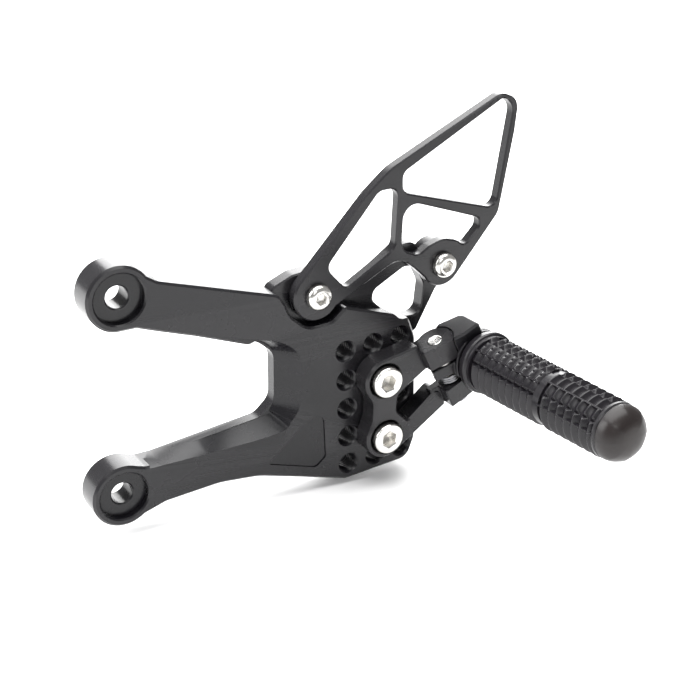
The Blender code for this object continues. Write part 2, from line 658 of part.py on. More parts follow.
def make_knuckle(hinge, peg):
    """Tongue between the ears, with a full-height body beside them that carries the barrel."""
    body_plan = rounded(
        [(BODY_WALL, -KNUCKLE_BACK, 2 * MM), (BODY_WALL, UPPER_EAR_RIGHT + 0.1 * MM, 0.3 * MM),
         (BODY_WALL + 4.5 * MM, KNUCKLE_FRONT, 1 * MM), (KNUCKLE_END, KNUCKLE_FRONT, 1 * MM),
         (KNUCKLE_END - 0.4 * MM, -3.6 * MM, 4 * MM)]
    )
    knuckle = pin_block("peg_knuckle", body_plan, 0, LOWER_EAR_BOTTOM, BLACK_ANODISE, hinge)
    chamfer(knuckle, 0.8 * MM)
    hub = BODY_WALL + 0.2 * MM
    tongue_plan = rounded(
        [(BODY_WALL + 3 * MM, UPPER_EAR_RIGHT - 0.1 * MM, 0), (EAR_R, UPPER_EAR_RIGHT - 0.1 * MM, 0),
         (-UPPER_EAR_REACH + 0.4 * MM, UPPER_EAR_LEFT - 0.1 * MM, 0.5 * MM),
         (-UPPER_EAR_REACH + 0.6 * MM, 1.0 * MM, 2 * MM), (-hub, -2.4 * MM, 3 * MM),
         (-2.4 * MM, -hub, 3 * MM),
         (BODY_WALL + 3 * MM, -hub, 0)]
    )
    middle = FLANGE_THICK / 2
    rim = FLANGE_R - FLANGE_GROOVE
    profile = [(0, -2 * MM), (FLANGE_R, -2 * MM), (FLANGE_R, middle - 0.2 * MM), (rim, middle - 0.2 * MM),
               (rim, middle + 0.3 * MM), (FLANGE_R, middle + 0.3 * MM), (FLANGE_R, FLANGE_THICK),
               (0, FLANGE_THICK)]
    flange = turned("flange", profile, None, peg, 40)
    # the flange is cut back clear of the upper ear's front face, and away altogether beside the lower ear
    side, wall = BODY_WALL - 20 * MM, BODY_WALL + 0.05 * MM
    clear = [(side, -20 * MM), (wall, -20 * MM), (wall, UPPER_EAR_RIGHT + GAP),
             (-UPPER_EAR_REACH, UPPER_EAR_LEFT + GAP), (side, UPPER_EAR_LEFT + GAP)]
    cut(flange, pin_block("upper_clearance", clear, -3 * MM, TONGUE_BOTTOM, parent=hinge))
    clear = [(side, -20 * MM), (wall, -20 * MM), (wall, 20 * MM), (side, 20 * MM)]
    cut(flange, pin_block("lower_clearance", clear, TONGUE_BOTTOM - 0.1 * MM, LOWER_EAR_BOTTOM + 3 * MM,
                          parent=hinge))
    join(knuckle, flange)
    join(knuckle, rod("spigot", SPIGOT_R, -4 * MM, FLANGE_THICK + SPACER_THICK + SPIGOT_LENGTH, parent=peg))
    ear_bottom = depth_to_z(UPPER_EAR + GAP - 0.05 * MM)
    cut(knuckle, rod("ear_room", UPPER_EAR_R + GAP, ear_bottom, 3 * MM, parent=hinge, steps=48))
    join(knuckle, pin_block("tongue", tongue_plan, TONGUE_TOP, TONGUE_BOTTOM, parent=hinge))
    cut(knuckle, rod("bush_bore", BUSH_R + GAP / 3, depth_to_z(TONGUE_BOTTOM + 1 * MM),
                     depth_to_z(TONGUE_TOP - 0.4 * MM), parent=hinge, steps=32))
    cut(knuckle, rod("peg_thread", PEG_BOLT_R + GAP, -PEG_BOLT_GRIP - 1 * MM, 20 * MM, parent=peg, steps=32))
    dowel_hole = rod("knuckle_dowel_hole", DOWEL_R + 0.2 * MM, -3.4 * MM, 8 * MM, parent=peg, steps=16)
    dowel_hole.location = (0, DOWEL_OFFSET, 0)
    cut(knuckle, dowel_hole)
    return knuckle


def make_barrel_parts(peg):
    start, end = BARREL_START, BARREL_END
    rear = start + COLLAR_LENGTH
    profile = [(0, start), (COLLAR_R - 1 * MM, start), (COLLAR_R, start + 1 * MM),
               (COLLAR_R, rear - 0.8 * MM),
               (BARREL_R, rear), (BARREL_TIP_R, end), (0, end)]
    barrel = turned("peg_barrel", profile, BLACK_ANODISE, peg, 40)
    socket = rod("spigot_socket", SPIGOT_R + GAP, start - 1 * MM,
                 FLANGE_THICK + SPACER_THICK + SPIGOT_LENGTH + GAP, parent=peg)
    bore = rod("barrel_bore", PEG_BOLT_R + GAP, start, end + 1 * MM, parent=peg, steps=32)
    sink = rod("barrel_sink", PEG_WASHER_R + GAP, end - PEG_SINK_DEPTH, end + 1 * MM, parent=peg)
    pocket = rod("barrel_dowel_hole", DOWEL_R + 0.2 * MM, start - 1 * MM, start + 3.4 * MM, parent=peg,
                 steps=16)
    pocket.location = (0, DOWEL_OFFSET, 0)
    cut(barrel, socket, bore, sink, pocket)

    low, high = FLANGE_THICK + GAP, FLANGE_THICK + GAP + SPACER_THICK
    inside = SPIGOT_R + GAP
    ring = [(inside, low), (SPACER_R, low), (SPACER_R, high), (inside, high)]
    spacer = turned("barrel_spacer", ring, BLACK_ANODISE, peg)
    hole = rod("spacer_dowel_hole", DOWEL_R + 0.2 * MM, low - 1 * MM, high + 1 * MM, parent=peg, steps=16)
    hole.location = (0, DOWEL_OFFSET, 0)
    cut(spacer, hole)

    dowel = rod("barrel_dowel", DOWEL_R, -3.0 * MM, -3.0 * MM + DOWEL_LENGTH, STAINLESS, peg, 16)
    dowel.location = (0, DOWEL_OFFSET, 0)

    seat = end - PEG_SINK_DEPTH + GAP
    inside = PEG_BOLT_R + GAP
    ring = [(inside, seat), (PEG_WASHER_R, seat), (PEG_WASHER_R, seat + PEG_WASHER_THICK),
            (inside, seat + PEG_WASHER_THICK)]
    washer = turned("peg_bolt_washer", ring, STAINLESS, peg, 32)

    head = seat + PEG_WASHER_THICK + GAP
    top = head + PEG_BOLT_HEAD_H
    profile = [(0, -PEG_BOLT_GRIP), (PEG_BOLT_R, -PEG_BOLT_GRIP), (PEG_BOLT_R, head), (PEG_BOLT_HEAD_R, head),
               (PEG_BOLT_HEAD_R, top - 0.8 * MM), (PEG_BOLT_HEAD_R - 0.8 * MM, top), (0, top)]
    bolt = turned("peg_bolt", profile, STAINLESS, peg, 32)
    socket = hex_socket("peg_bolt_socket", 6 * MM, 5 * MM, -4 * MM)
    socket.parent = peg
    socket.location = (0, 0, top)
    cut(bolt, socket)
    return barrel, spacer, dowel, washer, bolt


def make_end_cap(peg):
    """Plug with a domed, bevelled nose that closes the barrel over the bolt's head."""
    start = CAP_START
    nose = start + CAP_LENGTH
    plug = PEG_WASHER_R - GAP
    depth = 3.0 * MM
    radius = BARREL_TIP_R - 0.4 * MM
    profile = [(0, start - depth), (plug, start - depth), (plug, start), (radius, start),
               (radius, start + 2.4 * MM),
               (radius - 1.8 * MM, nose - 2.6 * MM), (radius - 4.6 * MM, nose - 0.6 * MM),
               (radius - 6.6 * MM, nose), (0, nose)]
    return turned("peg_end_cap", profile, BLACK_ANODISE, peg, 40)


def main():
    clear_scene()
    bracket = make_bracket()
    guard = make_guard()
    screws = [
        make_button_screw("guard_screw_front", GUARD_FRONT_BOSS),
        make_button_screw("guard_screw_rear", GUARD_REAR_BOSS),
        make_cap_screw("mount_screw_upper", grid_hole(MOUNT_COLUMN, MOUNT_ROWS[0])),
        make_cap_screw("mount_screw_lower", grid_hole(MOUNT_COLUMN, MOUNT_ROWS[1])),
    ]
    hinge = make_hinge_empty()
    hanger = make_hanger(hinge)
    pin_parts = make_pin_parts(hinge)
    make_return_spring(hinge)
    peg = make_peg_empty(hinge)
    knuckle = make_knuckle(hinge, peg)
    barrel_parts = make_barrel_parts(peg)
    cap = make_end_cap(peg)
    smooth(bracket, guard, hanger, knuckle, cap, *screws, *pin_parts, *barrel_parts)


main()
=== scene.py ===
import math

import bmesh
import bpy
from mathutils import Euler, Matrix, Vector


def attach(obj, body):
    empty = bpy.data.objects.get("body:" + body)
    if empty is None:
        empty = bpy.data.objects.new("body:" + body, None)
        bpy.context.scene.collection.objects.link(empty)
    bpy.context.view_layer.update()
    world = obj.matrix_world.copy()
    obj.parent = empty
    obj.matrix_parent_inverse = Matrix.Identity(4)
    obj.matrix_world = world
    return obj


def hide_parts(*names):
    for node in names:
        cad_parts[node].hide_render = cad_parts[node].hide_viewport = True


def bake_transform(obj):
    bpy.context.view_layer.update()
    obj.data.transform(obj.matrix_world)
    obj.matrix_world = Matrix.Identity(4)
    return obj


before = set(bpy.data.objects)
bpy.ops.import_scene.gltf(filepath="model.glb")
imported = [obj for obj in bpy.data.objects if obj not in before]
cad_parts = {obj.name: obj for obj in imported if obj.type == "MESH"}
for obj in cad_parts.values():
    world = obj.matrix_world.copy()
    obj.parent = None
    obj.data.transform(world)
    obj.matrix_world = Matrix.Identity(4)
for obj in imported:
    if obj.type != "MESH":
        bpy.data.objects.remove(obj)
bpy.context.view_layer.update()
mm = 0.001
gap = 0.3
plateFront = 12.7  # heights above the bracket's back face, towards the rider
hangerThick = 9.2
hangerBack = plateFront + gap
hangerFront = hangerBack + hangerThick
guardFront = 11.7
guardBack = 6.9
lowerBoss = -79.5
pinTilt = math.radians(27.5)
pegRise = math.radians(3.1)
pegSweep = math.radians(1.3)
plateSpace = Matrix.Rotation(math.pi / 2, 4, "X")  # outlines in X and Z, height towards the rider
hingeSpace = Matrix.Translation((0.1308, -0.0223, -0.0353)) @ Matrix.Rotation(-pinTilt, 4, "Y")
pegTurn = Euler((math.pi / 2 - pegRise, 0, pegSweep)).to_matrix().to_4x4()
pegSpace = hingeSpace @ Matrix.Translation((0.0121, -0.0058, -0.0163)) @ pegTurn


def screwSpace(x, z, height):
    return plateSpace @ Matrix.Translation((x * mm, z * mm, height * mm))


# outlines, all in millimetres


def roundedOutline(corners, turnStep=8):
    outline = []
    count = len(corners)
    for i, (x, y, radius) in enumerate(corners):
        here = Vector((x, y))
        before = Vector(corners[i - 1][:2]) - here
        after = Vector(corners[(i + 1) % count][:2]) - here
        half = before.angle(after) / 2
        turn = math.pi - 2 * half
        reach = min(radius / math.tan(half), 0.49 * before.length, 0.49 * after.length)
        if reach < 0.05 or turn < math.radians(2):
            outline.append((x, y))
            continue
        middle = (before.normalized() + after.normalized()).normalized()
        centre = here + middle * (reach * math.tan(half) / math.sin(half))
        start = here + before.normalized() * reach - centre
        end = here + after.normalized() * reach - centre
        steps = max(2, math.ceil(math.degrees(turn) / turnStep))
        for k in range(steps + 1):
            share = k / steps
            blend = (math.sin((1 - share) * turn) * start + math.sin(share * turn) * end) / math.sin(turn)
            outline.append(tuple(centre + blend))
    return outline


def arcCorners(centre, radius, start, end, step=7):
    count = max(2, math.ceil(abs(end - start) / step) + 1)
    angles = [math.radians(start + (end - start) * k / (count - 1)) for k in range(count)]
    return [(centre[0] + radius * math.cos(a), centre[1] + radius * math.sin(a), 0) for a in angles]


def circle(centre, radius, steps=48):
    angles = [2 * math.pi * k / steps for k in range(steps)]
    return [(centre[0] + radius * math.cos(a), centre[1] + radius * math.sin(a)) for a in angles]


def smoothLine(points, steps=6):
    # a curve through every point, with as many stations whatever the points are
    line = []
    for i in range(len(points) - 1):
        quad = [Vector(points[max(0, min(len(points) - 1, i + k))]) for k in (-1, 0, 1, 2)]
        for k in range(steps):
            t = k / steps
            pull = (quad[2] - quad[0]) * t + (2 * quad[0] - 5 * quad[1] + 4 * quad[2] - quad[3]) * t**2
            pull += (3 * quad[1] - quad[0] - 3 * quad[2] + quad[3]) * t**3
            line.append(tuple(quad[1] + pull / 2))
    return line + [points[-1]]


# meshes, given in millimetres in their own space


def newPiece(name, points, faces, space):
    mesh = bpy.data.meshes.new(name)
    mesh.from_pydata([Vector(p) * mm for p in points], [], faces)
    shape = bmesh.new()
    shape.from_mesh(mesh)
    bmesh.ops.recalc_face_normals(shape, faces=shape.faces)
    shape.to_mesh(mesh)
    shape.free()
    piece = bpy.data.objects.new(name, mesh)
    bpy.context.scene.collection.objects.link(piece)
    piece.matrix_world = space
    return piece


def plate(name, outlines, low, high, bevel, space=plateSpace, segments=0):
    # one filled outline with holes, pushed up from low to high, with every rim bevelled
    curve = bpy.data.curves.new(name, "CURVE")
    curve.dimensions = "2D"
    curve.fill_mode = "BOTH"
    for outline in outlines:
        spline = curve.splines.new("POLY")
        spline.points.add(len(outline) - 1)
        for point, (x, y) in zip(spline.points, outline):
            point.co = (x * mm, y * mm, 0, 1)
        spline.use_cyclic_u = True
    curve.extrude = ((high - low) / 2 - bevel) * mm
    curve.bevel_depth = bevel * mm
    curve.bevel_resolution = segments
    curve.offset = -bevel * mm
    shaper = bpy.data.objects.new(name + "Shaper", curve)
    bpy.context.scene.collection.objects.link(shaper)
    bpy.context.view_layer.update()
    mesh = bpy.data.meshes.new_from_object(shaper.evaluated_get(bpy.context.evaluated_depsgraph_get()))
    bpy.data.objects.remove(shaper)
    shape = bmesh.new()
    shape.from_mesh(mesh)
    bmesh.ops.translate(shape, verts=shape.verts, vec=(0, 0, (low + high) / 2 * mm))
    bmesh.ops.remove_doubles(shape, verts=shape.verts, dist=0.002 * mm)
    bmesh.ops.recalc_face_normals(shape, faces=shape.faces)
    shape.to_mesh(mesh)
    shape.free()
    mesh.materials.clear()
    piece = bpy.data.objects.new(name, mesh)
    bpy.context.scene.collection.objects.link(piece)
    piece.matrix_world = space
    return piece


def taper(name, topOutline, top, baseOutline, base, space=plateSpace):
    count = len(topOutline)
    points = [(x, y, top) for x, y in topOutline] + [(x, y, base) for x, y in baseOutline]
    faces = [tuple(range(count)), tuple(range(count, 2 * count))]
    for i in range(count):
        j = (i + 1) % count
        faces += [(i, j, count + j), (i, count + j, count + i)]
    return newPiece(name, points, faces, space)


def lathe(name, profile, space, steps=72):
    points, rings, faces = [], [], []
    for radius, z in profile:
        if radius == 0:
            rings.append([len(points)] * steps)
            points.append((0, 0, z))
            continue
        rings.append(list(range(len(points), len(points) + steps)))
        points += [(x, y, z) for x, y in circle((0, 0), radius, steps)]
    if profile[0][0] > 0:
        rings.append(rings[0])
    for lower, upper in zip(rings, rings[1:]):
        for k in range(steps):
            corners = [lower[k], lower[(k + 1) % steps], upper[(k + 1) % steps], upper[k]]
            corners = list(dict.fromkeys(corners))
            if len(corners) > 2:
                faces.append(tuple(corners))
    return newPiece(name, points, faces, space)


def rod(name, radius, low, high, space, steps=64):
    return lathe(name, [(0, low), (radius, low), (radius, high), (0, high)], space, steps)


def settle(piece):
    piece.data.transform(piece.matrix_world)
    piece.matrix_world = Matrix.Identity(4)


def carve(piece, operation, *others):
    for other in others:
        change = piece.modifiers.new(other.name, "BOOLEAN")
        change.operation = operation
        change.object = other
        change.solver = "EXACT"
    bpy.context.view_layer.update()
    piece.data = bpy.data.meshes.new_from_object(piece.evaluated_get(bpy.context.evaluated_depsgraph_get()))
    piece.modifiers.clear()
    for other in others:
        bpy.data.objects.remove(other)
    closeSeams(piece)
    return piece


def closeSeams(piece, within=0.001):
    shape = bmesh.new()
    shape.from_mesh(piece.data)
    bmesh.ops.remove_doubles(shape, verts=shape.verts, dist=within * mm)
    bmesh.ops.dissolve_degenerate(shape, edges=shape.edges, dist=within * mm)
    shape.to_mesh(piece.data)
    shape.free()


def cut(piece, *others):
    return carve(piece, "DIFFERENCE", *others)


def weld(piece, *others):
    return carve(piece, "UNION", *others)


def finish(piece, material, body, slotName, *nodes, angle=28):
    piece.data.materials.clear()
    piece.data.materials.append(material)
    for face in piece.data.polygons:
        face.material_index = 0
    piece.data.shade_smooth()
    piece.data.set_sharp_from_angle(angle=math.radians(angle))
    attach(piece, body)
    if nodes:
        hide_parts(*nodes)
    return piece


# materials


def startMaterial(name):
    material = bpy.data.materials.new(name)
    material.use_nodes = True
    tree = material.node_tree
    shader = tree.nodes["Principled BSDF"]
    place = tree.nodes.new("ShaderNodeTexCoord")
    return material, tree, shader, place.outputs["Object"]


def addNoise(tree, place, scale, detail=3, roughness=0.55, stretch=None):
    if stretch:
        mapping = tree.nodes.new("ShaderNodeMapping")
        mapping.inputs["Scale"].default_value = stretch
        tree.links.new(place, mapping.inputs["Vector"])
        place = mapping.outputs["Vector"]
    noise = tree.nodes.new("ShaderNodeTexNoise")
    noise.inputs["Scale"].default_value = scale
    noise.inputs["Detail"].default_value = detail
    noise.inputs["Roughness"].default_value = roughness
    tree.links.new(place, noise.inputs["Vector"])
    return noise.outputs["Fac"]


def addRamp(tree, source, stops):
    ramp = tree.nodes.new("ShaderNodeValToRGB")
    ramp.color_ramp.elements[0].position = stops[0][0]
    ramp.color_ramp.elements[0].color = (*stops[0][1], 1)
    ramp.color_ramp.elements[1].position = stops[-1][0]
    ramp.color_ramp.elements[1].color = (*stops[-1][1], 1)
    for position, colour in stops[1:-1]:
        ramp.color_ramp.elements.new(position).color = (*colour, 1)
    tree.links.new(source, ramp.inputs["Fac"])
    return ramp.outputs["Color"]


def addRange(tree, source, low, high):
    spread = tree.nodes.new("ShaderNodeMapRange")
    spread.inputs["To Min"].default_value = low
    spread.inputs["To Max"].default_value = high
    tree.links.new(source, spread.inputs["Value"])
    return spread.outputs["Result"]


def addBump(tree, source, strength, distance, under=None):
    bump = tree.nodes.new("ShaderNodeBump")
    bump.inputs["Strength"].default_value = strength
    bump.inputs["Distance"].default_value = distance
    tree.links.new(source, bump.inputs["Height"])
    if under:
        tree.links.new(under, bump.inputs["Normal"])
    return bump.outputs["Normal"]


anodise = {
    "tint": (0.0045, 0.0043, 0.0055),
    # lighter colour laid on convex edges: partly edge wear, partly a painted highlight where the chamfers
    # catch the light
    "edgeWearAndHighlight": (0.026, 0.025, 0.027),
    "roughness": (0.20, 0.32),
    "ior": 1.40,
    "blast": 2600,  # grain per metre of the blasted surface
    "blastStrength": 0.10,
    "toolMarks": (3, 900, 900),
}


def blackAnodise(name, settings, toolMarks=None, tint=None):
    material, tree, shader, place = startMaterial(name)
    cloud = addNoise(tree, place, 38, 4)
    grain = addNoise(tree, place, settings["blast"], 2)
    streaks = addNoise(tree, place, 1, 3, 0.6, toolMarks or settings["toolMarks"])
    pointy = tree.nodes.new("ShaderNodeNewGeometry").outputs["Pointiness"]
    base = tint or settings["tint"]
    lighter = tuple(1.5 * part for part in base)
    flat = addRamp(tree, cloud, [(0.3, base), (0.7, lighter)])
    # pointiness mask that lightens convex edges: partly edge wear, partly a painted highlight on the chamfers
    edgeWearAndHighlightMask = addRamp(tree, pointy, [(0.515, (0, 0, 0)), (0.60, (1, 1, 1))])
    mix = tree.nodes.new("ShaderNodeMix")
    mix.data_type = "RGBA"
    tree.links.new(edgeWearAndHighlightMask, mix.inputs["Factor"])
    tree.links.new(flat, mix.inputs["A"])
    mix.inputs["B"].default_value = (*settings["edgeWearAndHighlight"], 1)
    tree.links.new(mix.outputs["Result"], shader.inputs["Base Color"])
    tree.links.new(addRange(tree, cloud, *settings["roughness"]), shader.inputs["Roughness"])
    shader.inputs["IOR"].default_value = settings["ior"]
    shader.inputs["Metallic"].default_value = 0.0
    lines = addBump(tree, streaks, 0.05, 0.00004)
    tree.links.new(addBump(tree, grain, settings["blastStrength"], 0.00003, lines), shader.inputs["Normal"])
    return material


def brightSteel(name, colour, roughness, ringScale=0, darken=0.8):
    material, tree, shader, place = startMaterial(name)
    cloud = addNoise(tree, place, 160, 4)
    shade = addRamp(tree, cloud, [(0.3, tuple(darken * part for part in colour)), (0.65, colour)])
    tree.links.new(shade, shader.inputs["Base Color"])
    shader.inputs["Metallic"].default_value = 1.0
    tree.links.new(addRange(tree, cloud, roughness * 0.75, roughness * 1.35), shader.inputs["Roughness"])
    scratches = addNoise(tree, place, 1, 4, 0.7, (260, 2400, 2400))
    normal = addBump(tree, scratches, 0.08, 0.00003)
    if ringScale:
        rings = tree.nodes.new("ShaderNodeTexWave")
        rings.wave_type = "RINGS"
        rings.rings_direction = "Z"
        rings.inputs["Scale"].default_value = ringScale
        rings.inputs["Distortion"].default_value = 0.4
        tree.links.new(place, rings.inputs["Vector"])
        normal = addBump(tree, rings.outputs["Fac"], 0.12, 0.00003, normal)
    tree.links.new(normal, shader.inputs["Normal"])
    return material


blackPlate = blackAnodise("blackPlate", anodise)
blackGuard = blackAnodise("blackGuard", anodise, (900, 900, 3))
blackHanger = blackAnodise("blackHanger", anodise, (600, 3, 600))
blackKnuckle = blackAnodise("blackKnuckle", {**anodise, "roughness": (0.3, 0.42)}, (3, 700, 700))
blackBarrel = blackAnodise("blackBarrel", {**anodise, "roughness": (0.24, 0.36)}, (500, 500, 40),
                           (0.0085, 0.0075, 0.0095))
brownNose = blackAnodise("brownNose", {**anodise, "roughness": (0.3, 0.42)}, (500, 500, 40),
                         (0.0125, 0.0088, 0.0080))
steelHead = brightSteel("steelHead", (0.80, 0.785, 0.75), 0.22, 420)
steelPin = brightSteel("steelPin", (0.80, 0.79, 0.77), 0.18, 500)
steelHidden = brightSteel("steelHidden", (0.60, 0.59, 0.57), 0.3)
springSteel = brightSteel("springSteel", (0.26, 0.26, 0.27), 0.3)
bearingBronze = brightSteel("bearingBronze", (0.52, 0.35, 0.16), 0.35)
print("materials done")


# frame bracket

bracketSizes = {
    "bossRadius": 12.6,
    "sinkRadius": 9.65,
    "sinkDepth": 2.9,
    "boltHole": 4.28,
    "edge": 0.9,
    "rearLevel": 6.6,  # height of the thinner frame behind the plate
    "gridOrigin": (94.7, -37.5),
    "gridPitch": 12.9,
    "gridTurn": 4.5,
    "gridHole": 4.05,
    "panelDepth": 0.5,
}


def gridHole(column, row):
    turn = math.radians(bracketSizes["gridTurn"])
    x, z = bracketSizes["gridOrigin"]
    along, down = bracketSizes["gridPitch"] * column, bracketSizes["gridPitch"] * row
    return (x + along * math.cos(turn) + down * math.sin(turn),
            z + along * math.sin(turn) - down * math.cos(turn))


def plateOutline():
    boss = bracketSizes["bossRadius"]
    upper = arcCorners((0, 0), boss, 262, 34)
    lower = arcCorners((0, lowerBoss), boss, 309, 66)
    top = [(14.6, 4.6, 6), (63.8, -8.6, 5), (66.5, -12.5, 6), (69.2, -18.2, 8), (77.0, -24.6, 9),
           (88.0, -23.8, 6)]
    rear = [(94.0, -18.4, 2), (124.2, -27.6, 5), (128.2, -37.0, 8), (131.6, -84.0, 8), (128.5, -93.3, 6)]
    bottom = [(98.0, -96.4, 10), (75.0, -90.0, 20), (57.0, lowerBoss - 5.6, 30), (40.0, lowerBoss - 4.4, 30)]
    neck = [(17.0, lowerBoss - 6.7, 6)]
    inner = [(8.6, lowerBoss + 10.5, 3), (15.0, lowerBoss + 10.7, 8), (60.0, lowerBoss + 17.4, 7)]
    crotch = [(66.3, lowerBoss + 23.5, 7), (65.6, -35.0, 7), (58.4, -29.4, 7)]
    arm = [(30.0, -19.6, 30), (15.0, -15.0, 20), (6.4, -12.2, 3)]
    return roundedOutline(upper + top + rear + bottom + neck + lower + inner + crotch + arm)


def rearFrameOutline():
    boss = arcCorners((139.9, -7.4), 9.0, 140, -50)
    edge = [(62.4, -8.6, 4), (73.0, -3.8, 6), (84.0, -2.6, 8), (94.0, -18.0, 6), (100.0, -14.4, 4),
            (121.0, 1.0, 6)]
    strut = [(140.9, -20.3, 3), (132.4, -37.4, 3), (120.0, -40.0, 3), (72.0, -40.0, 3)]
    return roundedOutline(edge + [(127.0, 2.4, 6)] + boss + strut)


def threadCutter(radius, top, space):
    # a tapped hole: a wide rim at each end, and shallow thread crests between
    profile = [(0, -0.5), (radius + 0.85, -0.5), (radius + 0.85, 0), (radius, 0.8)]
    height = 1.0
    while height < top - 1.4:
        profile += [(radius, height), (radius - 0.32, height + 0.45), (radius, height + 0.9)]
        height += 1.25
    profile += [(radius, top - 0.7), (radius + 0.7, top), (radius + 0.7, top + 0.5), (0, top + 0.5)]
    return lathe("threadCutter", profile, space, 32)


def buildBracket():
    size = bracketSizes
    bracket = plate("frameBracket", [plateOutline()], 0, plateFront, size["edge"])
    window = [(110.2, -20.4, 3), (110.6, -16.2, 4), (124.6, -8.2, 5), (129.8, -8.4, 4), (134.6, -17.0, 5)]
    window = roundedOutline(window + [(133.8, -30.2, 4), (120.0, -30.0, 4)])
    thread = circle((139.9, -7.4), 3.05, 40)
    rear = plate("rearFrame", [rearFrameOutline(), window, thread], 0.03, size["rearLevel"], 0.6)
    weld(bracket, rear)

    opening = [(110.2, -20.4, 3), (110.6, -16.2, 4), (124.6, -8.2, 5), (129.8, -8.4, 4), (134.6, -17.0, 5)]
    opening = roundedOutline(opening + [(133.8, -28.0, 4), (120.0, -27.6, 4)])
    lowered = [(x + 0.4, z - (2.4 if z < -22 else 0)) for x, z in opening]
    cut(bracket, taper("windowCutter", opening, plateFront + 2, lowered, -2))

    inner = [(54, -26.4), (60, -29.6), (65.0, -34.4), (66.0, -45), (66.2, -54), (64.4, -59.4),
             (59, -62.6), (10, -69.1)]
    outer = [(55, -25.2), (66, -28.6), (73.6, -35.4), (75.4, -45), (75.2, -55), (71.2, -63), (62, -67.8),
             (10, -69.9)]
    side = [(20, -50), (30, -35)]
    innerOutline = smoothLine(inner) + side
    outerOutline = smoothLine(outer) + side
    beyond = [(a[0] * 1.15 - b[0] * 0.15, a[1] * 1.15 - b[1] * 0.15)
              for a, b in zip(outerOutline, innerOutline)]
    cut(bracket, taper("crotchBevel", beyond, plateFront + 1, innerOutline, plateFront - 6.8))

    panel = [(60.5, -80.5, 1), (83.2, -87.2, 3), (87.6, -83.2, 2), (85.6, -62.0, 6), (76, -66, 8)]
    panel = roundedOutline(panel)
    cut(bracket, taper("panelCutter", panel, plateFront + 2, panel, plateFront - size["panelDepth"]))

    for z in (0, lowerBoss):
        space = screwSpace(0, z, 0)
        sink = size["sinkRadius"]
        floor = plateFront - size["sinkDepth"]
        rim = [(0, floor), (sink, floor), (sink, plateFront - 0.6), (sink + 0.9, plateFront + 0.3),
               (0, plateFront + 0.3)]
        bore = size["boltHole"]
        through = [(0, -0.3), (bore + 0.8, -0.3), (bore, 0.5), (bore, floor - 0.5),
                   (bore + 0.8, floor + 0.3), (0, floor + 0.3)]
        cut(bracket, lathe("sinkCutter", rim, space), lathe("boltCutter", through, space))
    cut(bracket, rod("guardThread", 3.05, -2, 9, screwSpace(81.3, -12.1, 0)))
    for column in range(3):
        for row in range(5):
            cut(bracket, threadCutter(size["gridHole"], plateFront, screwSpace(*gridHole(column, row), 0)))
    return finish(bracket, blackPlate, "frame", "black_anodised", "frame_bracket")


buildBracket()
print("bracket done")


# heel guard

guardSizes = {"frontBoss": (81.3, -12.1), "rearBoss": (139.9, -7.4), "hole": 3.3, "edge": 0.6}


def buildGuard():
    front = arcCorners(guardSizes["frontBoss"], 10.3, -32, -218)
    rear = arcCorners(guardSizes["rearBoss"], 9.5, -38, -150)
    rim = [(101.6, 26.4, 20), (111.6, 35.2, 20), (162.6, 61.2, 7), (171.6, 58.0, 7), (170.9, 45, 20),
           (166.4, 11.2, 8)]
    under = [(126.2, -7.4, 5), (120.6, -3.3, 6), (115.4, -3.6, 8)]
    top = [(118.0, 33.0, 4), (164.4, 59.2, 3), (169.0, 55.0, 5), (164.4, 13.4, 4), (118.6, 25.0, 4)]
    left = [(85.0, -1.4, 4), (107.4, 26.8, 5), (116.2, 27.6, 5), (116.2, 2.6, 6), (94.2, -11.0, 3)]
    right = [(119.4, 21.8, 6), (156.6, 10.2, 3), (157.0, 6.4, 4), (150.2, -1.0, 5), (146.4, 1.8, 5)]
    right += [(139.6, 3.6, 9), (132.6, 1.2, 5), (127.6, -2.0, 4), (119.4, 1.0, 6)]
    outlines = [roundedOutline(outline) for outline in (front + rim + rear + under, top, left, right)]
    outlines += [circle(guardSizes[boss], guardSizes["hole"]) for boss in ("frontBoss", "rearBoss")]
    guard = plate("heelGuard", outlines, guardBack, guardFront, guardSizes["edge"])
    return finish(guard, blackGuard, "frame", "black_anodised", "heel_guard")


buildGuard()
print("heel guard done")


# screws

screwSizes = {
    "buttonHead": (5.3, 3.3, 4.0),  # radius, height, socket across flats
    "capHead": (6.6, 8.0, 6.0),
    "buttonShank": 2.75,
    "capShank": 3.7,
    "capProud": 2.5,  # height of the cap heads above the hanger
    "reach": 2.3,  # height of the shanks' ends above the bracket's back
}


def hexCutter(across, top, depth, space, turn=15):
    corner = across / math.sqrt(3)
    angles = [math.radians(60 * k + turn) for k in range(6)]
    ring = [(corner * math.cos(angle), corner * math.sin(angle)) for angle in angles]
    wide = [(x * 1.14, y * 1.14) for x, y in ring]
    socket = taper("hexCutter", ring, top + 1, ring, top - depth, space)
    rim = taper("hexRim", [(x * 1.6, y * 1.6) for x, y in wide], top + 1, ring, top - 0.35, space)
    floor = top - depth
    drill = lathe("drillPoint", [(0, floor - 0.9), (across * 0.5, floor + 0.1), (0, floor + 0.1)], space)
    return socket, rim, drill


def buildButton(name, x, z, node):
    radius, height, across = screwSizes["buttonHead"]
    seat = guardFront + gap
    shank = screwSizes["buttonShank"]
    end = screwSizes["reach"] - seat
    dome = [(0, height)]
    for degrees in range(0, 91, 9):
        angle = math.radians(degrees)
        dome.append((radius * (0.55 + 0.45 * math.sin(angle)), height * (0.3 + 0.7 * math.cos(angle))))
    profile = dome + [(radius, 0.1), (radius - 0.1, 0), (shank, 0), (shank, end + 0.6),
                      (shank - 0.6, end), (0, end)]
    space = screwSpace(x, z, seat)
    screw = lathe(name, profile[::-1], space)
    cut(screw, *hexCutter(across, height, 2.1, space))
    return finish(screw, steelHead, "frame", "stainless", node)


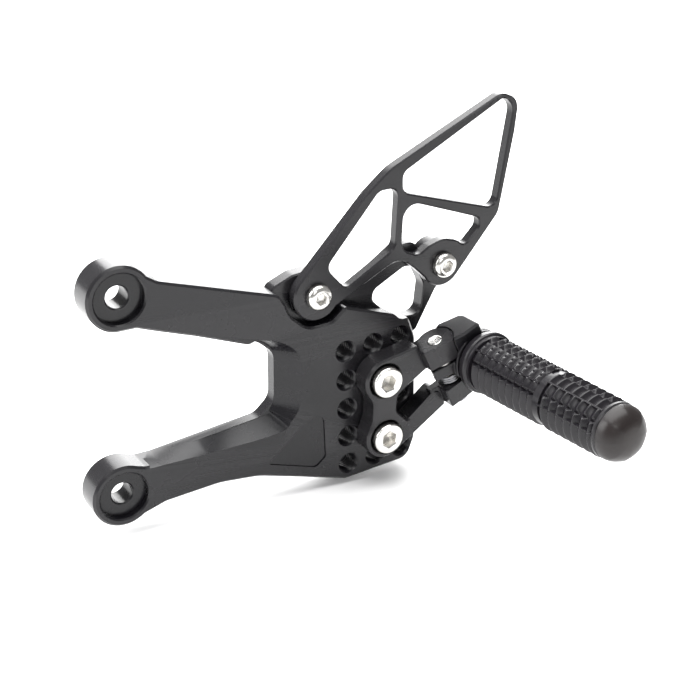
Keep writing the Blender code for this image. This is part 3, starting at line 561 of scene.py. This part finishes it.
def buildCap(name, x, z, node, turn):
    radius, height, across = screwSizes["capHead"]
    top = hangerFront + screwSizes["capProud"]
    shank = screwSizes["capShank"]
    base = top - height
    end = screwSizes["reach"] - top
    rim = [(0, 0), (radius - 0.95, 0), (radius - 0.45, -0.14), (radius - 0.12, -0.5), (radius, -0.95)]
    body = [(radius, -height + 0.2), (radius - 0.2, -height), (shank, -height), (shank, end + 0.8),
            (shank - 0.8, end), (0, end)]
    space = screwSpace(x, z, top)
    screw = lathe(name, (rim + body)[::-1], space)
    cut(screw, *hexCutter(across, 0, 4, space, turn))
    return finish(screw, steelHead, "frame", "stainless", node)


buildButton("guardScrewFront", *guardSizes["frontBoss"], "guard_screw_front")
buildButton("guardScrewRear", *guardSizes["rearBoss"], "guard_screw_rear")
buildCap("mountScrewUpper", *gridHole(1, 1), "mount_screw_upper", 10)
buildCap("mountScrewLower", *gridHole(1, 3), "mount_screw_lower", 26)
print("screws done")


# peg hanger, with its two ears

hingeSizes = {
    "upperEar": (0, -10.0),
    "tongue": (-11.1, -16.0),
    "lowerEar": (-21.0, -30.1),
    "earRadius": 4.7,
    "earFront": 5.8,
    "upperRadius": 8.0,
    "upperLeft": 3.4,  # the upper ear's front face slants between these two distances
    "upperRight": 6.9,
    "bodyWall": 5.0,
    "upperReach": 7.9,
    "lowerReach": 6.6,
    "pinBore": 3.12,
    "bushRadius": 4.12,
}


def upperEarOutline():
    radius, reach = hingeSizes["upperRadius"], hingeSizes["upperReach"]
    roundEnd = arcCorners((0, 0), radius, -55, 115)
    web = [(-reach, roundEnd[-1][1], 0.5), (-reach, 4.2, 0.3), (-reach - 4, 4.2, 0.3), (-reach - 4, 1.0, 0.3)]
    return roundedOutline([*roundEnd, *web, (-reach, 0.2, 0.5), (-reach, -hingeSizes["upperLeft"], 0.6)])


def lowerEarOutline():
    radius, front, reach = hingeSizes["earRadius"], -hingeSizes["earFront"], hingeSizes["lowerReach"]
    back = arcCorners((0, 0), radius, 0, 90)
    web = [(-reach - 4, radius - 0.5, 0.3), (-reach - 4, 1.0, 0.3), (-reach, 0.2, 0.5)]
    return roundedOutline([(radius, front, 0.4), *back, *web, (-reach, front, 0.8)])


hangerSizes = {"pad": 9.3, "hole": 4.3, "sink": 7.3, "sinkDepth": 5.8}


def buildHanger():
    size = hangerSizes
    upperPad, lowerPad = gridHole(1, 1), gridHole(1, 3)
    upper = arcCorners(upperPad, size["pad"], 205, 103)
    lower = arcCorners(lowerPad, size["pad"], -54, -205)
    arms = [(123.0, -36.7, 1), (129.2, -47.4, 1), (121.0, -52.8, 4), (115.0, -57.2, 3), (114.8, -64.4, 4)]
    arms += [(120.6, -69.8, 1.5), (135.2, -57.2, 2.5), (139.4, -66.0, 1)]
    waist = [(103.9, -66.4, 6), (103.6, -58.6, 6)]
    holes = [circle(pad, size["hole"]) for pad in (upperPad, lowerPad)]
    hanger = plate("pegHanger", [roundedOutline(upper + arms + lower + waist), *holes], hangerBack,
                   hangerFront, 0.7)
    for pad in (upperPad, lowerPad):
        floor, sink = hangerFront - size["sinkDepth"], size["sink"]
        profile = [(0, floor), (sink, floor), (sink, hangerFront - 0.5)]
        profile += [(sink + 0.65, hangerFront + 0.15), (0, hangerFront + 0.15)]
        cut(hanger, lathe("headCutter", profile, screwSpace(*pad, 0)))
    for name, outline in (("upperEar", upperEarOutline()), ("lowerEar", lowerEarOutline())):
        high, low = hingeSizes[name]
        weld(hanger, plate(name, [outline], low, high, 0.45, hingeSpace))
    step = [(-3.6, -12), (10, -12), (10, 12), (-3.6, 12)]
    cut(hanger, taper("stepCutter", step, 2, step, -0.3, hingeSpace))
    cut(hanger, rod("pinBore", hingeSizes["pinBore"], -33, 3, hingeSpace))
    return finish(hanger, blackHanger, "frame", "black_anodised", "peg_hanger")


def buildPinParts():
    end = hingeSizes["lowerEar"][1] - 3
    groove = hingeSizes["lowerEar"][1] - 0.3
    pin = [(0, end), (2.5, end), (3, end + 0.5), (3, groove - 1.4), (2.2, groove - 1.4), (2.2, groove),
           (3, groove)]
    pin += [(3, -0.55), (2.92, -0.25), (2.7, -0.12), (2.4, -0.1), (0.7, -0.1), (0.5, -0.25), (0, -0.35)]
    finish(lathe("hingePin", pin, hingeSpace), steelPin, "frame", "stainless", "hinge_pin")
    outer = [(x, y) for x, y, r in arcCorners((0, 0), 4.6, 38, 322)]
    inner = [(x, y) for x, y, r in arcCorners((0, 0), 2.35, 299, 61)]
    clip = plate("pinClip", [outer + inner], groove - 1.1, groove - 0.3, 0.1, hingeSpace)
    finish(clip, springSteel, "frame", "spring_steel", "pin_clip")
    washer = [(3.3, -10.8), (3.4, -10.85), (4.5, -10.85), (4.6, -10.75)]
    washer += [(4.6, -10.4), (4.5, -10.3), (3.4, -10.3), (3.3, -10.4)]
    finish(lathe("thrustWasher", washer, hingeSpace), steelHidden, "frame", "stainless", "thrust_washer")
    high, low = hingeSizes["tongue"]
    inside, outside = hingeSizes["pinBore"], hingeSizes["bushRadius"]
    bush = [(inside, low), (outside, low), (outside, high), (inside, high)]
    finish(lathe("hingeBush", bush, hingeSpace), bearingBronze, "peg", "bronze", "hinge_bush")


def tube(name, route, radius, space, sides=12):
    points, faces = [], []
    for i, here in enumerate(route):
        ahead = Vector(route[min(i + 1, len(route) - 1)]) - Vector(route[max(i - 1, 0)])
        across = ahead.cross(Vector((0, 0, 1))).normalized()
        up = across.cross(ahead).normalized()
        for k in range(sides):
            angle = 2 * math.pi * k / sides
            points.append(Vector(here) + (across * math.cos(angle) + up * math.sin(angle)) * radius)
    for i in range(len(route) - 1):
        for k in range(sides):
            j = (k + 1) % sides
            faces.append((i * sides + k, i * sides + j, (i + 1) * sides + j, (i + 1) * sides + k))
    faces += [tuple(range(sides)), tuple(range(len(points) - sides, len(points)))]
    return newPiece(name, points, faces, space)


springSizes = {"wire": 0.65, "coil": 4.35, "turns": 2.75, "low": -20.05, "high": -16.95}


def buildSpring():
    size = springSizes
    steps = 90
    route = [(-size["coil"], 2.6, size["low"]), (-size["coil"], 1.2, size["low"])]
    for k in range(steps + 1):
        angle = math.pi + k / steps * size["turns"] * 2 * math.pi
        height = size["low"] + (size["high"] - size["low"]) * k / steps
        route.append((size["coil"] * math.cos(angle), size["coil"] * math.sin(angle), height))
    spring = tube("returnSpring", route, size["wire"], hingeSpace)
    spring.data.materials.append(springSteel)
    spring.data.shade_smooth()
    spring.data.transform(spring.matrix_world)
    spring.matrix_world = Matrix.Identity(4)
    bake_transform(spring)
    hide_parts("return_spring")


buildHanger()
buildPinParts()
buildSpring()
print("hanger and hinge done")


# knuckle

knuckleSizes = {
    "back": 8.4,
    "front": 8.4,
    "end": 17.6,
    "flange": 12.4,
    "flangeThick": 3.2,
    "spacer": 9.8,
    "spacerThick": 1.0,
    "spigot": 6.0,
    "bushBore": 4.22,
    "boltBore": 4.0,
}


def buildKnuckle():
    size = knuckleSizes
    wall, left, right = hingeSizes["bodyWall"], hingeSizes["upperLeft"], hingeSizes["upperRight"]
    body = [(wall, size["back"], 2), (size["end"] - 0.4, 3.6, 4), (size["end"], -size["front"], 1)]
    body += [(wall + 4.5, -size["front"], 1), (wall, -right - 0.1, 0.3)]
    bottom = hingeSizes["lowerEar"][1]
    knuckle = plate("pegKnuckle", [roundedOutline(body)], bottom, 0, 0.9, hingeSpace)
    rim, thick = size["flange"], size["flangeThick"]
    profile = [(0, -2), (rim, -2), (rim, 1.2), (rim - 0.2, 1.4), (rim - 0.7, 1.4), (rim - 0.7, 1.9),
               (rim - 0.2, 1.9)]
    profile += [(rim, 2.1), (rim, thick - 0.25), (rim - 0.25, thick), (0, thick)]
    flange = lathe("flange", profile, pegSpace)
    low, high = hingeSizes["tongue"][1], hingeSizes["tongue"][0]
    far, near = wall - 20, wall + 0.05
    upper = [(far, 20), (near, 20), (near, -right - gap)]
    upper += [(-hingeSizes["upperReach"], -left - gap), (far, -left - gap)]
    lower = [(far, 20), (near, 20), (near, -20), (far, -20)]
    cut(flange, taper("upperClearance", upper, 3, upper, low, hingeSpace))
    cut(flange, taper("lowerClearance", lower, low + 0.1, lower, bottom - 3, hingeSpace))
    weld(knuckle, flange)
    weld(knuckle, rod("spigot", size["spigot"], -4, thick + size["spacerThick"] + 5, pegSpace))
    cut(knuckle, rod("earRoom", hingeSizes["upperRadius"] + gap, -10.25, 3, hingeSpace))
    hub = wall + 0.2
    tongue = [(wall + 3, 0.1 - right, 0), (4.7, 0.1 - right, 0), (-7.5, 0.1 - left, 0.5), (-7.3, -1.0, 2)]
    tongue = roundedOutline(tongue + [(-hub, 2.4, 3), (-2.4, hub, 3), (wall + 3, hub, 0)])
    weld(knuckle, plate("tongue", [tongue], low, high, 0.3, hingeSpace))
    cut(knuckle, rod("bushBore", size["bushBore"], low - 1, high + 0.4, hingeSpace))
    cut(knuckle, rod("boltBore", size["boltBore"], -10, 20, pegSpace))
    return finish(knuckle, blackKnuckle, "peg", "black_anodised", "peg_knuckle")


buildKnuckle()
print("knuckle done")


# barrel, spacer and nose, out along the peg from the knuckle's front face

barrelSizes = {
    "start": 4.8,
    "collar": (13.1, 4.2),
    "radius": 12.3,
    "tipRadius": 11.4,
    "length": 80.2,
    "innerTeeth": (5.4, 44.7, 9),  # start, end and count of the teeth by the collar
    "outerTeeth": (48.2, 78.7, 7),
    "toothDepth": 1.55,
    "upAngle": 62.5,  # the tread's middle, on top of the peg
    "angleStep": 1.5,
}


def bandCut(offset, edges, depth):
    # a groove along the peg: full depth at its middle, none at its sides
    middle, width = edges
    return depth * max(0.0, 1 - abs(offset - middle) / width)


def toothCut(t, outer, phase=0.0):
    start, end, count = barrelSizes["outerTeeth" if outer else "innerTeeth"]
    share = (t - start) / (end - start) * count + phase
    part = share - math.floor(share)
    rise = 0.62 if outer else 0.58
    height = part / rise if part < rise else (1 - part) / (1 - rise)
    return 1 - min(1.0, max(0.0, (height - 0.06) / 0.86))


def treadRadius(t, degrees):
    size = barrelSizes
    share = t / size["length"]
    base = size["radius"] + (size["tipRadius"] - size["radius"]) * share
    offset = (degrees - size["upAngle"] + 180) % 360 - 180
    side = abs(offset)
    depth = size["toothDepth"]
    inInner = size["innerTeeth"][0] <= t <= size["innerTeeth"][1]
    inOuter = size["outerTeeth"][0] <= t <= size["outerTeeth"][1]
    if not (inInner or inOuter):
        return base - 0.9 if size["innerTeeth"][1] < t < size["outerTeeth"][0] else base - 0.35
    if inInner:
        cross = depth * toothCut(t, False, 0.5 if side < 14.5 else 0.0)
        along = max(bandCut(side, (14.5, 7.5), depth), bandCut(side, (30.0, 4.0), 0.7),
                    bandCut(side, (71.5, 5.5), 2.3))
        if 43.6 < side < 47.4:
            cross = 0.25
            along = 0.25
        if side > 66:
            cross = (depth + 0.25) * toothCut(t, False)
            along = bandCut(side, (71.5, 5.5), 2.3)
    else:
        cross = (depth + 0.35) * toothCut(t, True, 0.5 if side < 33 else 0.0) ** 0.8
        along = max(bandCut(side, (0.0, 8.0), depth), bandCut(side, (62.0, 7.0), 1.6))
        if 33 < side < 37.5 or 84 < side < 87:
            cross = 0.2
            along = 0.2
        if side > 87:
            cross = (depth + 0.35) * toothCut(t, True)
            along = 0
    return base - max(cross, along)


def buildBarrel():
    size = barrelSizes
    count = round(360 / size["angleStep"])
    angles = [k * size["angleStep"] for k in range(count)]
    stations = []
    for start, end, teeth in (size["innerTeeth"], size["outerTeeth"]):
        steps = teeth * 12
        stations += [start + (end - start) * k / steps for k in range(steps + 1)]
    stations = [t for t in stations if t < size["length"]]
    before = [size["collar"][1] + 0.6, size["innerTeeth"][0] - 0.02]
    middle = [size["innerTeeth"][1] + 0.02, size["outerTeeth"][0] - 0.02]
    after = [size["outerTeeth"][1] + 0.02, size["length"] - 0.5]
    stations = sorted(stations + before + middle + after)
    collar, length = size["collar"]
    bore, socket, sink = 4.0, 6.3, 7.7
    rings = [(0, [socket] * count), (0, [collar - 1.1] * count), (0.25, [collar - 0.5] * count)]
    rings += [(0.8, [collar - 0.08] * count), (1.3, [collar] * count), (length - 1.2, [collar] * count)]
    rings += [(length - 0.5, [collar - 0.35] * count), (length - 0.1, [size["radius"] - 0.2] * count)]
    rings += [(t, [treadRadius(t, angle) for angle in angles]) for t in stations]
    top = size["length"]
    rings += [(top, [size["tipRadius"] - 0.9] * count), (top, [sink] * count), (top - 15, [sink] * count)]
    rings += [(top - 15, [bore] * count), (4.7, [bore] * count), (4.7, [socket] * count)]
    points, faces = [], []
    for t, radii in rings:
        for angle, radius in zip(angles, radii):
            turn = math.radians(angle)
            points.append((radius * math.cos(turn), radius * math.sin(turn), size["start"] + t))
    for i in range(len(rings)):
        j = (i + 1) % len(rings)
        for k in range(count):
            m = (k + 1) % count
            faces.append((i * count + k, i * count + m, j * count + m, j * count + k))
    barrel = newPiece("pegBarrel", points, faces, pegSpace)
    settle(barrel)
    return finish(barrel, blackBarrel, "peg", "black_anodised", "peg_barrel", angle=22)


def buildSpacer():
    low = knuckleSizes["flangeThick"] + gap
    high = low + knuckleSizes["spacerThick"]
    edge = knuckleSizes["spacer"]
    profile = [(6.3, low), (edge - 0.2, low), (edge, low + 0.2), (edge, high - 0.2), (edge - 0.2, high),
               (6.3, high)]
    spacer = lathe("barrelSpacer", profile, pegSpace)
    return finish(spacer, blackKnuckle, "peg", "black_anodised", "barrel_spacer")


def buildNose():
    start = barrelSizes["start"] + barrelSizes["length"] + gap
    nose = start + 8
    profile = [(7.1, start - 3), (7.1, start), (10.7, start), (11.0, start + 0.4), (10.95, start + 2.4)]
    profile += [(10.1, start + 4.4), (8.6, start + 6.1), (6.6, start + 7.3), (4.2, nose - 0.2),
                (2.0, nose), (0.0, nose)]
    cap = lathe("pegNose", [(0, start - 3), *profile], pegSpace, 96)
    for vertex in cap.data.vertices:
        t = vertex.co.z / mm - start
        if t > 0.2:
            angle = math.atan2(vertex.co.y, vertex.co.x)
            flat = math.cos(math.pi / 8) / math.cos((angle + math.pi / 8) % (math.pi / 4) - math.pi / 8)
            blend = min(1.0, (t - 0.2) / 3) * 0.35
            vertex.co.x *= 1 - blend * (1 - min(1.0, flat))
            vertex.co.y *= 1 - blend * (1 - min(1.0, flat))
    settle(cap)
    return finish(cap, brownNose, "peg", "black_anodised", "peg_end_cap", angle=35)


buildBarrel()
buildSpacer()
buildNose()
for node in ("peg_bolt", "peg_bolt_washer", "barrel_dowel"):
    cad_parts[node].data.materials.clear()
    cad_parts[node].data.materials.append(steelHidden)
print("barrel done")


# floor, light and camera

studio = {
    "floorHeight": -0.0985,
    "floorSize": 9.0,
    "world": 0.34,
    "cameraPlace": (-0.15827, -0.41696, 0.17102),
    "lens": 67.08,
}


def buildFloor():
    half = studio["floorSize"]
    height = studio["floorHeight"]
    mesh = bpy.data.meshes.new("floor")
    corners = [(-half, -half, height), (half, -half, height), (half, half, height), (-half, half, height)]
    mesh.from_pydata(corners, [], [(0, 1, 2, 3)])
    floor = bpy.data.objects.new("floor", mesh)
    bpy.context.scene.collection.objects.link(floor)
    material, tree, shader, place = startMaterial("paleFloor")
    shade = addRamp(tree, addNoise(tree, place, 3, 2), [(0.3, (0.93, 0.93, 0.93)), (0.7, (0.95, 0.95, 0.95))])
    tree.links.new(shade, shader.inputs["Base Color"])
    shader.inputs["Roughness"].default_value = 0.9
    shader.inputs["Specular IOR Level"].default_value = 0.1
    mesh.materials.append(material)


def addSoftbox(name, place, target, size, power):
    light = bpy.data.lights.new(name, "AREA")
    light.shape = "RECTANGLE"
    light.size, light.size_y = size
    light.energy = power
    box = bpy.data.objects.new(name, light)
    box.location = place
    box.rotation_euler = (Vector(target) - Vector(place)).to_track_quat("-Z", "Y").to_euler()
    bpy.context.scene.collection.objects.link(box)


def buildStudio():
    world = bpy.data.worlds.new("studioWorld")
    world.use_nodes = True
    background = world.node_tree.nodes["Background"]
    background.inputs["Color"].default_value = (1, 1, 1, 1)
    background.inputs["Strength"].default_value = studio["world"]
    bpy.context.scene.world = world
    middle = (0.09, -0.03, -0.02)
    addSoftbox("overheadBox", (0.1, 0.15, 1.3), middle, (1.6, 1.6), 46)
    addSoftbox("backBox", (0.75, 1.25, 0.55), middle, (1.4, 1.0), 34)
    addSoftbox("leftBox", (-1.2, 0.35, 0.6), middle, (0.9, 0.9), 18)
    addSoftbox("frontBox", (-0.5, -1.3, 0.9), middle, (0.7, 0.5), 5)
    camera = bpy.data.objects.new("camera", bpy.data.cameras.new("camera"))
    right = Vector((0.85529413, -0.51618592, 0.04498948))
    up = Vector((0.17129653, 0.36363606, 0.91565622))
    back = Vector((-0.48900865, -0.77544884, 0.39943665))
    turn = Matrix((right, up, back)).transposed().to_4x4()
    camera.matrix_world = Matrix.Translation(studio["cameraPlace"]) @ turn
    camera.data.lens = studio["lens"]
    camera.data.clip_start = 0.01
    bpy.context.scene.collection.objects.link(camera)
    bpy.context.scene.camera = camera
    bpy.context.scene.view_settings.view_transform = "Standard"


buildFloor()
buildStudio()
print("studio done")
